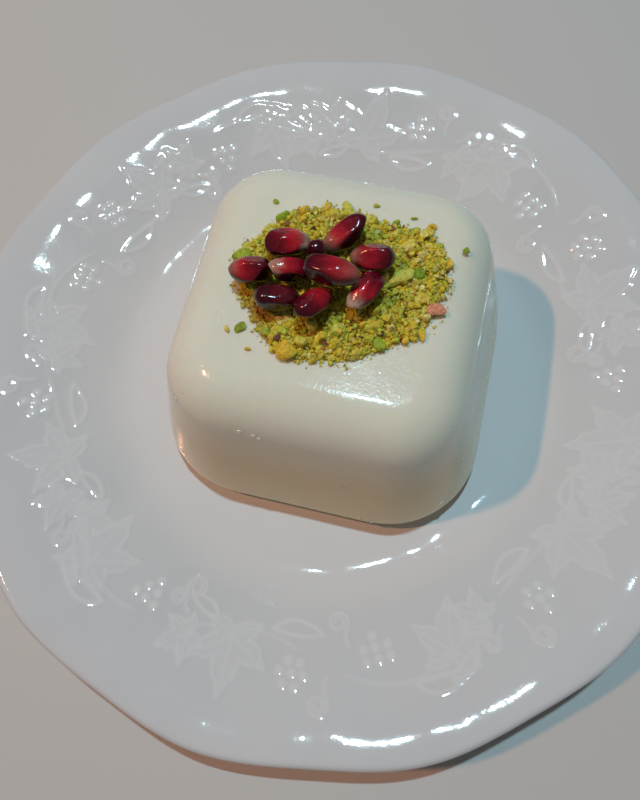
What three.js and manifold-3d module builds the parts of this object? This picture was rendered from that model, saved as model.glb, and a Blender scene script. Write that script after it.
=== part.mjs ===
// A moulded milk pudding on its dessert plate, topped with ground pistachio and ten pomegranate arils.
// Millimetres, +Z up. The origin is the centre of the plate, on the surface that its foot stands on.
import * as THREE from 'three';
import { mergeVertices } from 'three/addons/utils/BufferGeometryUtils.js';
import Module from 'manifold-3d';

const wasm = await Module();
wasm.setup();

// ---- Driving dimensions -------------------------------------------------------------------------------------------

const GAP = 0.3; // clear space between pieces that touch

// Plate: glazed porcelain with a flat well, a sloping rim and a twelve-lobed edge
const PLATE_R = 102.5; // mean radius of the edge
const LOBES = 12;
const LOBE_DEPTH = 0.65; // how far the edge swings out and in
const LOBE_TURN = THREE.MathUtils.degToRad(-4.3); // where the first lobe points
const WELL_R = 55; // the flat of the well ends here
const WELL_Z = 5; // top of the well
const WELL_CURVE = 9; // radial length of the soft bend from well to rim
const RIM_SLOPE = THREE.MathUtils.degToRad(21);
const BRIM_R = 91; // the rim starts to level off here
const PLATE_THICK = 3.6;
const LIP_THICK = 2.6;
const FOOT_R = 53; // middle of the foot ring
const FOOT_WIDTH = 4;
const FOOT_RECESS_Z = 1.4; // underside inside the foot ring

// Pudding: a square mould with a wide draft, turned out upside down
const PUDDING_AT = new THREE.Vector2(2, 1.4); // it stands a little off the plate's centre
const PUDDING_HALF = 43.4; // half of its width where it is widest
const PUDDING_CORNER = 24.7; // corner radius of that outline
const PUDDING_H = 46;
const DRAFT = THREE.MathUtils.degToRad(13.8);
const TOP_ROUND = 12;
const FOOT_ROUND = 5;

// Ground pistachio: a thin uneven mound
const MOUND_AT = new THREE.Vector2(1.3, 2.4); // from the pudding's centre
const MOUND_HALF = new THREE.Vector2(24, 19.4);
const MOUND_TURN = THREE.MathUtils.degToRad(9.5);
const MOUND_H = 1.8;
const MOUND_EDGE_H = 0.8;
const MOUND_BUMPS = 0.5; // how far its upper face goes up and down
const NIB_COUNT = 84; // small pieces over its upper face
const EDGE_NIB_COUNT = 42; // and round its edge
const NIB_SIZE = [1.1, 2.4]; // smallest and largest across
const NIB_SEED = 11;

// The largest pistachio pieces: place from the pudding's centre, length, width, and turn in degrees
const LARGE_NIBS = [
  { x: -22.0, y: 1.4, length: 4.8, width: 3.0, turn: 20 },
  { x: -21.6, y: 5.4, length: 2.9, width: 1.8, turn: 60 },
  { x: -15.2, y: 16.0, length: 3.6, width: 2.6, turn: 45 },
  { x: -10.8, y: 18.6, length: 2.8, width: 2.4, turn: 40 },
  { x: -6.0, y: 20.4, length: 2.8, width: 2.3, turn: 50 },
  { x: -1.2, y: 20.8, length: 4.6, width: 2.4, turn: 35 },
  { x: 15.6, y: 4.0, length: 5.4, width: 2.4, turn: 45 },
  { x: 18.6, y: 6.0, length: 3.0, width: 2.0, turn: 50 },
  { x: 23.8, y: -0.4, length: 3.6, width: 2.6, turn: -15 },
  { x: 24.6, y: 11.6, length: 3.2, width: 2.3, turn: 50 },
  { x: -6.3, y: -16.8, length: 4.0, width: 3.3, turn: 45 },
];

// Pistachio pieces that lie loose on the pudding, beside the mound
const LOOSE_NIBS = [
  { x: -17.8, y: -13.4, length: 2.5, width: 1.6, turn: 40 },
  { x: -20.6, y: -14.6, length: 1.6, width: 1.0, turn: -40 },
  { x: -14.8, y: -18.2, length: 1.5, width: 1.0, turn: 15 },
  { x: -18.2, y: 20.2, length: 1.4, width: 1.1, turn: 20 },
  { x: 19.2, y: 20.6, length: 2.2, width: 1.7, turn: -30 },
  { x: 14.8, y: 22.2, length: 1.6, width: 1.1, turn: 10 },
  { x: 28.0, y: 16.0, length: 1.7, width: 1.4, turn: 35 },
  { x: 5.4, y: 23.8, length: 1.5, width: 1.0, turn: 0 },
];

// Pomegranate arils: middle from the pudding's centre, its height over the pudding, length, width, and in degrees the
// direction of the fat end, its rise and the roll. The lower ones lie in the pistachio and the later ones over them.
const ARILS = [
  { x: -10.3, y: -7.0, z: 5.4, length: 9.8, width: 6.8, turn: 190, rise: 7, roll: 40 },
  { x: -17.9, y: -1.8, z: 5.3, length: 9.6, width: 6.8, turn: 6, rise: 5, roll: 10 },
  { x: 0.7, y: 11.2, z: 5.7, length: 11.6, width: 6.6, turn: 48, rise: 11, roll: 5 },
  { x: 7.9, y: 6.3, z: 5.8, length: 9.8, width: 7.2, turn: 3, rise: 7, roll: 15 },
  { x: -11.3, y: 6.5, z: 5.7, length: 10.0, width: 7.5, turn: 199, rise: 8, roll: 25 },
  { x: -1.8, y: -7.1, z: 6.5, length: 10.6, width: 6.5, turn: 237, rise: 16, roll: 20 },
  { x: -9.1, y: -0.7, z: 6.8, length: 9.4, width: 6.2, turn: 17, rise: -24, roll: 0 },
  { x: 8.1, y: -2.3, z: 6.5, length: 10.4, width: 6.3, turn: 63, rise: -1, roll: 30 },
  { x: -4.4, y: 4.8, z: 7.6, length: 7.6, width: 5.4, turn: 287, rise: 61, roll: 55 },
  { x: 0.7, y: -1.2, z: 10.8, length: 12.0, width: 6.9, turn: 174, rise: -3, roll: 0 },
];

// ---- Materials ----------------------------------------------------------------------------------------------------

const porcelain = new THREE.MeshStandardMaterial({ color: 0xe6e8ea, roughness: 0.15, metalness: 0 });
const milkPudding = new THREE.MeshStandardMaterial({ color: 0xf2ecd8, roughness: 0.3, metalness: 0 });
const pistachio = new THREE.MeshStandardMaterial({ color: 0xa39a2e, roughness: 0.8, metalness: 0 });
const pomegranate = new THREE.MeshStandardMaterial({ color: 0x7a0a14, roughness: 0.15, metalness: 0 });

// ---- Building closed bodies ---------------------------------------------------------------------------------------

// Joins rings of equal point counts, one above the other, and shuts both ends with a fan.
function loft(rings) {
  const count = rings[0].length;
  const points = rings.flat();
  const index = [];
  for (let level = 0; level < rings.length - 1; level++) {
    for (let k = 0; k < count; k++) {
      const a = level * count + k;
      const b = level * count + ((k + 1) % count);
      index.push(a, b, b + count, a, b + count, a + count);
    }
  }
  for (const [level, flip] of [[0, true], [rings.length - 1, false]]) {
    const middle = points.length;
    const centre = rings[level].reduce((sum, p) => sum.add(p), new THREE.Vector3()).divideScalar(count);
    points.push(centre);
    for (let k = 0; k < count; k++) {
      const a = level * count + k;
      const b = level * count + ((k + 1) % count);
      index.push(...(flip ? [b, a, middle] : [a, b, middle]));
    }
  }
  const geometry = new THREE.BufferGeometry().setFromPoints(points);
  geometry.setIndex(index);
  return geometry;
}

// A geometry with only positions, its shared corners joined and its empty triangles dropped.
function closed(geometry) {
  const bare = geometry.clone();
  bare.deleteAttribute('normal');
  bare.deleteAttribute('uv');
  const joined = mergeVertices(bare, 1e-4);
  const kept = [];
  for (let i = 0; i < joined.index.count; i += 3) {
    const [a, b, c] = [joined.index.getX(i), joined.index.getX(i + 1), joined.index.getX(i + 2)];
    if (a !== b && b !== c && c !== a) kept.push(a, b, c);
  }
  joined.setIndex(kept);
  return joined;
}

function toSolid(geometry) {
  const body = closed(geometry);
  return new wasm.Manifold(new wasm.Mesh({
    numProp: 3,
    vertProperties: Float32Array.from(body.attributes.position.array),
    triVerts: Uint32Array.from(body.index.array),
  }));
}

function toGeometry(solid) {
  const mesh = solid.getMesh();
  const geometry = new THREE.BufferGeometry();
  geometry.setAttribute('position', new THREE.BufferAttribute(mesh.vertProperties, mesh.numProp));
  geometry.setIndex(new THREE.BufferAttribute(mesh.triVerts, 1));
  return geometry;
}

function piece(name, geometry, material) {
  geometry.computeVertexNormals();
  const mesh = new THREE.Mesh(geometry, material);
  mesh.name = name;
  return mesh;
}

// A small repeatable stream of numbers from 0 to 1.
function seededRandom(seed) {
  let state = seed;
  return () => {
    state = (state * 16807) % 2147483647;
    return state / 2147483647;
  };
}

// ---- Plate --------------------------------------------------------------------------------------------------------

// Height of the upper face at a radius: flat well, soft bend, straight slope, then a brim that levels off.
function plateTop(r) {
  const slope = Math.tan(RIM_SLOPE);
  const bend = THREE.MathUtils.clamp((r - WELL_R) / WELL_CURVE, 0, 1);
  const rise = (slope * WELL_CURVE * bend * bend) / 2 + slope * Math.max(0, r - WELL_R - WELL_CURVE);
  const brim = Math.max(0, r - BRIM_R);
  const brimLength = PLATE_R - BRIM_R;
  return WELL_Z + rise - (0.8 * slope * brim * brim) / (2 * brimLength);
}

function makePlate() {
  const segments = LOBES * 8;
  const lipRadius = LIP_THICK / 2;
  const lipZ = plateTop(PLATE_R - lipRadius) - lipRadius;
  const profile = [new THREE.Vector2(0, WELL_Z), new THREE.Vector2(WELL_R, WELL_Z)];
  for (const share of [0.33, 0.66, 1]) {
    profile.push(new THREE.Vector2(WELL_R + share * WELL_CURVE, plateTop(WELL_R + share * WELL_CURVE)));
  }
  for (const r of [78, BRIM_R, 95, 98, PLATE_R - lipRadius]) profile.push(new THREE.Vector2(r, plateTop(r)));
  for (const angle of [45, 0, -45, -90]) {
    const a = THREE.MathUtils.degToRad(angle);
    const r = PLATE_R - lipRadius + lipRadius * Math.cos(a);
    profile.push(new THREE.Vector2(r, lipZ + lipRadius * Math.sin(a)));
  }
  for (const r of [94, 86, 76, 66]) profile.push(new THREE.Vector2(r, plateTop(r) - PLATE_THICK));
  const footOut = FOOT_R + FOOT_WIDTH / 2;
  const footIn = FOOT_R - FOOT_WIDTH / 2;
  profile.push(
    new THREE.Vector2(footOut + 3, FOOT_RECESS_Z + 0.6),
    new THREE.Vector2(footOut + 0.6, 0.8),
    new THREE.Vector2(footOut, 0),
    new THREE.Vector2(footIn, 0),
    new THREE.Vector2(footIn - 0.8, FOOT_RECESS_Z),
    new THREE.Vector2(0, FOOT_RECESS_Z),
  );
  const geometry = closed(new THREE.LatheGeometry(profile.reverse(), segments));
  const position = geometry.attributes.position;
  for (let i = 0; i < position.count; i++) {
    // the lathe turns about Y: X, Y, Z there become X, Z, -Y here
    const [x, y, z] = [position.getX(i), -position.getZ(i), position.getY(i)];
    const r = Math.hypot(x, y);
    const share = THREE.MathUtils.smoothstep(r, WELL_R + WELL_CURVE, PLATE_R);
    const swing = LOBE_DEPTH * share * Math.cos(LOBES * (Math.atan2(y, x) - LOBE_TURN));
    const stretch = r > 0 ? (r + swing) / r : 1;
    position.setXYZ(i, x * stretch, y * stretch, z);
  }
  return geometry;
}

// ---- Pudding ------------------------------------------------------------------------------------------------------

const PUDDING_Z = WELL_Z + GAP; // its underside
const PUDDING_TOP = PUDDING_Z + PUDDING_H;

// The wall leans in by the draft from the top of the foot's round to the shoulder, where the top's round begins.
const WALL_Z = FOOT_ROUND * (1 + Math.sin(DRAFT));
const WALL_INSET = FOOT_ROUND * (1 - Math.cos(DRAFT));
const SHOULDER_Z = PUDDING_H - TOP_ROUND * (1 - Math.sin(DRAFT));
const SHOULDER_INSET = WALL_INSET + (SHOULDER_Z - WALL_Z) * Math.tan(DRAFT);
const FLAT_INSET = SHOULDER_INSET + TOP_ROUND * Math.cos(DRAFT); // the flat top is the widest outline less this

// A square outline with rounded corners, as a ring of points at height z.
function roundedSquare(half, corner, z, cornerSteps = 8) {
  const ring = [];
  for (let side = 0; side < 4; side++) {
    const turn = (side * Math.PI) / 2;
    for (let k = 0; k <= cornerSteps; k++) {
      const angle = (k / cornerSteps) * (Math.PI / 2);
      const x = half - corner + corner * Math.cos(angle);
      const y = half - corner + corner * Math.sin(angle);
      ring.push(new THREE.Vector3(
        x * Math.cos(turn) - y * Math.sin(turn) + PUDDING_AT.x,
        x * Math.sin(turn) + y * Math.cos(turn) + PUDDING_AT.y,
        z,
      ));
    }
  }
  return ring;
}

function makePuddingBody() {
  const levels = []; // inset from the widest outline, and height
  for (const share of [0, 0.25, 0.5, 0.75, 1]) {
    const angle = -Math.PI / 2 + share * (Math.PI / 2 + DRAFT);
    levels.push([FOOT_ROUND * (1 - Math.cos(angle)), FOOT_ROUND * (1 + Math.sin(angle))]);
  }
  levels.push([(WALL_INSET + SHOULDER_INSET) / 2, (WALL_Z + SHOULDER_Z) / 2]);
  for (let k = 0; k <= 7; k++) {
    const angle = DRAFT + (k / 7) * (Math.PI / 2 - DRAFT);
    levels.push([FLAT_INSET - TOP_ROUND * Math.cos(angle), PUDDING_H - TOP_ROUND * (1 - Math.sin(angle))]);
  }
  return loft(levels.map(([inset, z]) =>
    roundedSquare(PUDDING_HALF - inset, PUDDING_CORNER - inset, PUDDING_Z + z)));
}

// Height of the pudding's upper face at a place from its centre: level, then falling away round the edge.
function puddingTop(x, y) {
  const corner = PUDDING_CORNER - FLAT_INSET;
  const straight = PUDDING_HALF - PUDDING_CORNER;
  const [dx, dy] = [Math.abs(x) - straight, Math.abs(y) - straight];
  const away = Math.hypot(Math.max(dx, 0), Math.max(dy, 0)) + Math.min(Math.max(dx, dy), 0) - corner;
  const outside = THREE.MathUtils.clamp(away, 0, TOP_ROUND);
  return PUDDING_TOP - TOP_ROUND + Math.sqrt(TOP_ROUND * TOP_ROUND - outside * outside);
}

// ---- Pistachio ----------------------------------------------------------------------------------------------------

// A broken nut piece: an icosahedron with its corners pushed about, with its middle at height z.
function makeNib({ x, y, length, width, turn }, z, random) {
  const geometry = closed(new THREE.IcosahedronGeometry(1, 0));
  const position = geometry.attributes.position;
  const half = new THREE.Vector3(length, width, nibHeight(width)).divideScalar(2);
  for (let i = 0; i < position.count; i++) {
    const push = 0.82 + 0.3 * random();
    const corner = new THREE.Vector3().fromBufferAttribute(position, i).multiply(half).multiplyScalar(push);
    position.setXYZ(i, corner.x, corner.y, corner.z);
  }
  geometry.rotateX((random() - 0.5) * 0.6);
  geometry.rotateZ(THREE.MathUtils.degToRad(turn));
  geometry.translate(PUDDING_AT.x + x, PUDDING_AT.y + y, z);
  return geometry;
}

function nibHeight(width) {
  return 0.85 * width;
}

// Distance of a place from the mound's centre, as a share of the way to its uneven edge.
function moundShare(x, y) {
  const [dx, dy] = [x - MOUND_AT.x, y - MOUND_AT.y];
  const u = (dx * Math.cos(MOUND_TURN) + dy * Math.sin(MOUND_TURN)) / MOUND_HALF.x;
  const v = (-dx * Math.sin(MOUND_TURN) + dy * Math.cos(MOUND_TURN)) / MOUND_HALF.y;
  const angle = Math.atan2(v, u);
  const edge = 1 + 0.045 * Math.cos(3 * angle - 0.65) + 0.035 * Math.cos(5 * angle - 2.7) + 0.015 * Math.cos(9 * angle);
  return Math.hypot(u, v) / edge;
}

function moundHeight(share) {
  return MOUND_EDGE_H + (MOUND_H - MOUND_EDGE_H) * (1 - share * share);
}

function makeMoundCore(random) {
  const around = 48;
  const ringAt = (share, z, bumps) => Array.from({ length: around }, (_, k) => {
    const angle = (k / around) * Math.PI * 2;
    const direction = new THREE.Vector2(Math.cos(angle), Math.sin(angle));
    const reach = share / moundShare(MOUND_AT.x + direction.x, MOUND_AT.y + direction.y);
    return new THREE.Vector3(
      PUDDING_AT.x + MOUND_AT.x + direction.x * reach,
      PUDDING_AT.y + MOUND_AT.y + direction.y * reach,
      z + bumps * (random() - 0.5),
    );
  });
  const base = PUDDING_TOP + GAP;
  const rings = [ringAt(0.98, base, 0), ringAt(1, base + MOUND_EDGE_H * 0.6, 0)];
  for (const share of [0.95, 0.84, 0.7, 0.55, 0.38, 0.2]) {
    rings.push(ringAt(share, base + moundHeight(share), MOUND_BUMPS));
  }
  return loft(rings);
}

// ---- Pomegranate arils --------------------------------------------------------------------------------------------

const FATTEST = 0.6; // where along its length an aril is fattest

// A juicy seed: blunt at the fat end, narrowing to the end where it grew on, with flats pressed in by its neighbours.
function makeAril({ x, y, z, length, width, turn, rise, roll }) {
  const sides = 10;
  const stations = [0.01, 0.06, 0.15, 0.3, 0.48, 0.66, 0.82, 0.93, 0.99]; // from the narrow end to the fat end
  const rings = stations.map((t) => {
    const fromMiddle = Math.abs(t - FATTEST) / (t < FATTEST ? FATTEST : 1 - FATTEST);
    const fullness = Math.pow(1 - Math.pow(fromMiddle, t < FATTEST ? 2 : 2.6), 0.5);
    return Array.from({ length: sides }, (_, k) => {
      const angle = (k / sides) * Math.PI * 2;
      const radius = (width / 2) * fullness * (1 + 0.04 * Math.cos(5 * angle));
      return new THREE.Vector3((t - 0.5) * length, radius * Math.cos(angle), 0.92 * radius * Math.sin(angle));
    });
  });
  const geometry = loft(rings);
  geometry.rotateX(THREE.MathUtils.degToRad(roll));
  geometry.rotateY(THREE.MathUtils.degToRad(-rise));
  geometry.rotateZ(THREE.MathUtils.degToRad(turn));
  geometry.translate(PUDDING_AT.x + x, PUDDING_AT.y + y, PUDDING_TOP + z);
  return geometry;
}

// ---- Putting it together ------------------------------------------------------------------------------------------

const random = seededRandom(NIB_SEED);
const core = toSolid(makeMoundCore(random));
const arils = ARILS.map((aril) => toSolid(makeAril(aril)));

let pudding = toSolid(makePuddingBody());
for (const nib of LOOSE_NIBS) {
  const z = puddingTop(nib.x, nib.y) + 0.15 * nibHeight(nib.width);
  pudding = pudding.add(toSolid(makeNib(nib, z, random)));
}

// Nibs go on where they stay clear of the pudding and the arils: the large ones first, then those round the edge and
// an even spread of small ones. Each is half sunk in the mound, or less where it would reach the pudding.
const mound = [core];
function addNib(nib) {
  const surface = PUDDING_TOP + GAP + moundHeight(Math.min(1, moundShare(nib.x, nib.y)));
  const lowest = PUDDING_TOP + GAP + 0.6 * nibHeight(nib.width);
  const solid = toSolid(makeNib(nib, Math.max(surface, lowest), random));
  const room = [pudding, ...arils].every((other) => solid.minGap(other, 2 * GAP) >= GAP * 0.9);
  if (room && !solid.intersect(core).isEmpty()) mound.push(solid);
}

function addSmallNib(angle, spread) {
  const size = NIB_SIZE[0] + (NIB_SIZE[1] - NIB_SIZE[0]) * random();
  addNib({
    x: MOUND_AT.x + MOUND_HALF.x * spread * Math.cos(angle),
    y: MOUND_AT.y + MOUND_HALF.y * spread * Math.sin(angle),
    length: size,
    width: size * (0.6 + 0.3 * random()),
    turn: 360 * random(),
  });
}

LARGE_NIBS.forEach(addNib);
for (let k = 0; k < EDGE_NIB_COUNT; k++) {
  addSmallNib(((k + 0.6 * random()) / EDGE_NIB_COUNT) * Math.PI * 2, 0.97 + 0.05 * random());
}
for (let k = 0; k < NIB_COUNT; k++) {
  addSmallNib(k * Math.PI * (3 - Math.sqrt(5)), 0.93 * Math.sqrt((k + 0.5) / NIB_COUNT));
}

const milkPuddingOnPlate = new THREE.Group();
milkPuddingOnPlate.add(
  piece('plate', makePlate(), porcelain),
  piece('pudding', toGeometry(pudding), milkPudding),
  piece('pistachio_crumbs', toGeometry(wasm.Manifold.union(mound)), pistachio),
  ...arils.map((solid, k) => piece(`aril_${String(k + 1).padStart(2, '0')}`, toGeometry(solid), pomegranate)),
);

export default milkPuddingOnPlate;
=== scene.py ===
"""A moulded milk pudding on a porcelain dessert plate, topped with ground pistachio and pomegranate arils."""
import math

import bpy
import numpy as np
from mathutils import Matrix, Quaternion, Vector


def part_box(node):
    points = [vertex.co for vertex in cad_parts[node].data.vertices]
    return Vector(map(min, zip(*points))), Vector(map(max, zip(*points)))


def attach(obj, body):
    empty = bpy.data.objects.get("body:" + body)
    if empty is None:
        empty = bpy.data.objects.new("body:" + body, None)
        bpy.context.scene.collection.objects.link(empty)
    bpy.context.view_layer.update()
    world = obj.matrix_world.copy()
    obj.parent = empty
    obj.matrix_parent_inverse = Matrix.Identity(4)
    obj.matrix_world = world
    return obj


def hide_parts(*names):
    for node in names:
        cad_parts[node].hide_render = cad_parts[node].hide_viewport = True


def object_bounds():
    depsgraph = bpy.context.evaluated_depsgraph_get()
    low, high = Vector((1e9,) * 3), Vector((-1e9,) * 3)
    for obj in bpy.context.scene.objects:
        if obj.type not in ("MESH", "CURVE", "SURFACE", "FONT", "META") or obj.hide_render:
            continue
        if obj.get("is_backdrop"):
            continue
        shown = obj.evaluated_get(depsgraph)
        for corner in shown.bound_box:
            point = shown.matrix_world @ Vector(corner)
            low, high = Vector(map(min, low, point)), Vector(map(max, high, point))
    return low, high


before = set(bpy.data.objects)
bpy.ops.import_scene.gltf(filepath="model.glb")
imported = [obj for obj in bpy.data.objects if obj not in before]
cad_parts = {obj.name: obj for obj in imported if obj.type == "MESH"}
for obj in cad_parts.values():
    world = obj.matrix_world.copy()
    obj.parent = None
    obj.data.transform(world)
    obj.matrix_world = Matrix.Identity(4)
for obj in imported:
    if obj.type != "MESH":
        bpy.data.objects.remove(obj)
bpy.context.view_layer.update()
mm = 0.001

# ---- Camera --------------------------------------------------------------------------------------
# The camera stands close over the front of the plate, looks steeply down on the pudding, and leans a little
# about its own line of sight. The pudding's sides run along X and Y, and the view is from the right of -Y.

camera_turn = math.radians(21.7)
camera_tilt = math.radians(71)
camera_roll = math.radians(-8.73)
camera_distance = 191 * mm
camera_aim = Vector((-0.96, -8.4, 0)) * mm
camera_focal_px = 640  # of a picture 800 pixels high
picture_height_px = 800

line_of_sight = Vector((
    -math.sin(camera_turn) * math.cos(camera_tilt),
    math.cos(camera_turn) * math.cos(camera_tilt),
    -math.sin(camera_tilt),
))
upright = line_of_sight.to_track_quat("-Z", "Y")
bpy.ops.object.camera_add(location=camera_aim - line_of_sight * camera_distance)
camera = bpy.context.object
camera.rotation_euler = (upright @ Quaternion((0, 0, 1), camera_roll)).to_euler()
camera.data.sensor_width = 36
camera.data.lens = camera.data.sensor_width * camera_focal_px / picture_height_px
camera.data.clip_start = 5 * mm
bpy.context.scene.camera = camera

# ---- Studio --------------------------------------------------------------------------------------
# A plain pale floor under soft studio light. A cool lamp stands high behind the plate, and a warm one to the
# left, which throws a bluish shadow to the right.

floor_size = 6
floor_colour = (0.66, 0.64, 0.61, 1)
floor_roughness = 0.8
room_colour = (0.95, 0.97, 1.0, 1)
room_strength = 0.085
# degrees up, degrees round from the camera's right, distance, width and height in metres, watts and colour
lamps = [
    (77.5, 76, 1.0, 0.06, 0.014, 4.3, (0.567, 0.867, 1.0)),
    (58.5, 168, 1.0, 0.06, 0.035, 2.85, (1.0, 0.474, 0.263)),
]

bpy.ops.object.select_all(action="DESELECT")
bpy.ops.mesh.primitive_plane_add(size=floor_size)
floor = bpy.context.object
floor.name = "floor"
floor_paint = bpy.data.materials.new("pale floor")
floor_paint.use_nodes = True
paint = floor_paint.node_tree.nodes["Principled BSDF"].inputs
paint["Base Color"].default_value = floor_colour
paint["Roughness"].default_value = floor_roughness
floor.data.materials.append(floor_paint)
floor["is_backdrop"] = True

for height, turn, distance, wide, high, watts, colour in lamps:
    level = math.cos(math.radians(height))
    around = math.radians(turn) + camera_turn
    place = distance * Vector((
        level * math.cos(around), level * math.sin(around), math.sin(math.radians(height)),
    ))
    bpy.ops.object.light_add(type="AREA", location=place)
    lamp = bpy.context.object
    lamp.rotation_euler = (-place).to_track_quat("-Z", "Y").to_euler()
    lamp.data.shape = "ELLIPSE"
    lamp.data.size = wide
    lamp.data.size_y = high
    lamp.data.energy = watts
    lamp.data.color = colour

room = bpy.data.worlds.new("room")
room.use_nodes = True
glow = room.node_tree.nodes["Background"].inputs
glow["Color"].default_value = room_colour
glow["Strength"].default_value = room_strength
bpy.context.scene.world = room
bpy.context.scene.view_settings.view_transform = "Standard"

# ---- Plate ---------------------------------------------------------------------------------------
# A dessert plate of glazed porcelain: a flat well, a soft bend, a sloping rim with a softly lobed edge, and a
# foot ring below. It is round, so its outline is drawn once, as radius and height, and screwed round.

plate_radius = 102.5
edge_lobes = 12
edge_swing = 0.65
edge_lobe_turn = math.radians(-4.3)
well_radius, well_height, well_bend = 55, 5, 9
rim_start = well_radius + well_bend
rim_angle = math.radians(21)
rim_slope = math.tan(rim_angle)
brim_radius = 91
brim_level = 0.8  # the share of the rim's slope that is gone at the plate's edge
plate_thickness = 3.6
lip_radius = 1.3
foot_inside, foot_outside, foot_recess = 51, 55, 1.4
band_inside, band_outside = 61, 98.5  # the rim between these carries the raised vine
round_steps = 960
weld = 0.01 * mm  # points closer than this become one


def plate_face(radius):
    """Height of the plate's upper face at a radius, both in mm."""
    bend = np.clip((radius - well_radius) / well_bend, 0, 1)
    rise = rim_slope * (well_bend * bend**2 / 2 + np.maximum(0, radius - rim_start))
    brim = np.maximum(0, radius - brim_radius)
    return well_height + rise - brim_level * rim_slope * brim**2 / (2 * (plate_radius - brim_radius))


lip_middle = plate_radius - lip_radius
lip_height = plate_face(lip_middle) - lip_radius
# out along the upper face to the lip, and back below over the foot ring to the middle
outline = [(r, well_height) for r in (0, 30, 50)]
outline += [(r, plate_face(r)) for r in np.arange(well_radius, band_inside, 1.5)]
outline += [(r, plate_face(r)) for r in np.linspace(band_inside, band_outside, 70)]
outline += [(r, plate_face(r)) for r in (99.4, 100.4, lip_middle)]
for angle in np.radians([55, 20, -15, -50, -90]):
    outline.append((lip_middle + lip_radius * math.cos(angle), lip_height + lip_radius * math.sin(angle)))
outline += [(r, plate_face(r) - plate_thickness) for r in (96, 90, 80, 66)]
outline += [(59.5, 2.3), (foot_outside + 1.2, 1.2), (foot_outside + 0.3, 0.3), (foot_outside - 0.3, 0)]
outline += [(foot_inside + 0.3, 0), (foot_inside - 0.3, 0.3)]
outline += [(foot_inside - 1, foot_recess), (0, foot_recess)]

bpy.ops.object.select_all(action="DESELECT")
bpy.ops.mesh.primitive_plane_add(size=mm, location=(0, 0, outline[0][1] * mm))
plate = bpy.context.object
plate.name = "porcelain_plate"
bpy.ops.object.mode_set(mode="EDIT")
bpy.ops.mesh.select_mode(type="VERT")
bpy.ops.mesh.select_all(action="SELECT")
bpy.ops.mesh.merge(type="CENTER")
for (r0, z0), (r1, z1) in zip(outline, outline[1:]):
    step = ((r1 - r0) * mm, 0, (z1 - z0) * mm)
    bpy.ops.mesh.extrude_region_move(TRANSFORM_OT_translate={"value": step})
bpy.ops.object.mode_set(mode="OBJECT")
bpy.ops.object.modifier_add(type="SCREW")
turning = plate.modifiers[0]
turning.angle = 2 * math.pi
turning.steps = turning.render_steps = round_steps
turning.use_merge_vertices = True
turning.merge_threshold = weld
bpy.ops.object.modifier_apply(modifier=turning.name)
bpy.ops.object.mode_set(mode="EDIT")
bpy.ops.mesh.select_all(action="SELECT")
bpy.ops.mesh.remove_doubles(threshold=weld)
bpy.ops.mesh.normals_make_consistent(inside=False)
bpy.ops.object.mode_set(mode="OBJECT")
bpy.ops.object.transform_apply(location=True)


def points_of(piece):
    """The mesh points of a piece, one row each."""
    points = np.empty(len(piece.data.vertices) * 3)
    piece.data.vertices.foreach_get("co", points)
    return points.reshape(-1, 3)


def move_points(piece, points):
    """Puts the mesh points of a piece in new places."""
    piece.data.vertices.foreach_set("co", points.ravel())
    piece.data.update()


def store(piece, name, values):
    """Keeps one number for each mesh point, for its material to read."""
    attribute = piece.data.attributes.new(name, "FLOAT", "POINT")
    attribute.data.foreach_set("value", values.astype(np.float32))


# The raised ornament is a running vine, drawn in soft beads of clay: a thin stem that swings in and out round
# the rim, and in its bays lobed leaves with their veins, loose bunches of berries, tendrils and leaflets.

bays = 12
vine_radius, vine_swing = 80, 5.6
bead_rise, bead_half = 0.2, 0.8
bead_end = 0.75  # width at the end of a bead, as a share of that at its start
stem_rise, stem_half = 0.7 * bead_rise, 0.8 * bead_half
leaf_size, blade_rise, vein_share = 13.0, 0.09, 0.86
berry_rise, berry_radius = 0.28, 1.35
berry_step, row_step = 2.25 * berry_radius, 2.0 * berry_radius
bunch_rows = [(3, 2, 1), (2, 3, 2), (3, 3, 1), (2, 3, 1)]  # berries in each row, from the stalk
# direction from the leaf's tip, length as a share of the leaf's, and half-width, of each lobe
leaf_lobes = [
    (0, 1.0, math.radians(32)),
    (math.radians(58), 0.84, math.radians(30)),
    (math.radians(-58), 0.84, math.radians(30)),
    (math.radians(118), 0.58, math.radians(36)),
    (math.radians(-118), 0.58, math.radians(36)),
]
layout = np.random.default_rng(21)

plate_points = points_of(plate) / mm
plan_x, plan_y = plate_points[:, 0], plate_points[:, 1]
plan_radius = np.hypot(plan_x, plan_y)
plan_angle = np.arctan2(plan_y, plan_x)
upper = plate_points[:, 2] > plate_face(plan_radius) - 0.3  # the underside lies well below this
carries = upper & (plan_radius > band_inside) & (plan_radius < band_outside)


def soft_step(x):
    """0 below 0, 1 above 1, and smooth between."""
    x = np.clip(x, 0, 1)
    return x * x * (3 - 2 * x)


def stamp(angle, radius, turn, reach, shape):
    """Raises a motif on the rim, rooted at that place. Its own v axis turns from outwards by turn."""
    x, y = radius * math.cos(angle), radius * math.sin(angle)
    near = carries & (np.hypot(plan_x - x, plan_y - y) < reach)
    dx, dy = plan_x[near] - x, plan_y[near] - y
    along = angle + turn
    v = dx * math.cos(along) + dy * math.sin(along)
    u = dx * math.sin(along) - dy * math.cos(along)
    relief[near] = np.maximum(relief[near], shape(u, v))


def bead_top(away):
    """Height of a bead's round top, as a share, at a distance from its middle line in half-widths."""
    return np.exp(-1.2 * away**2)


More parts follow.
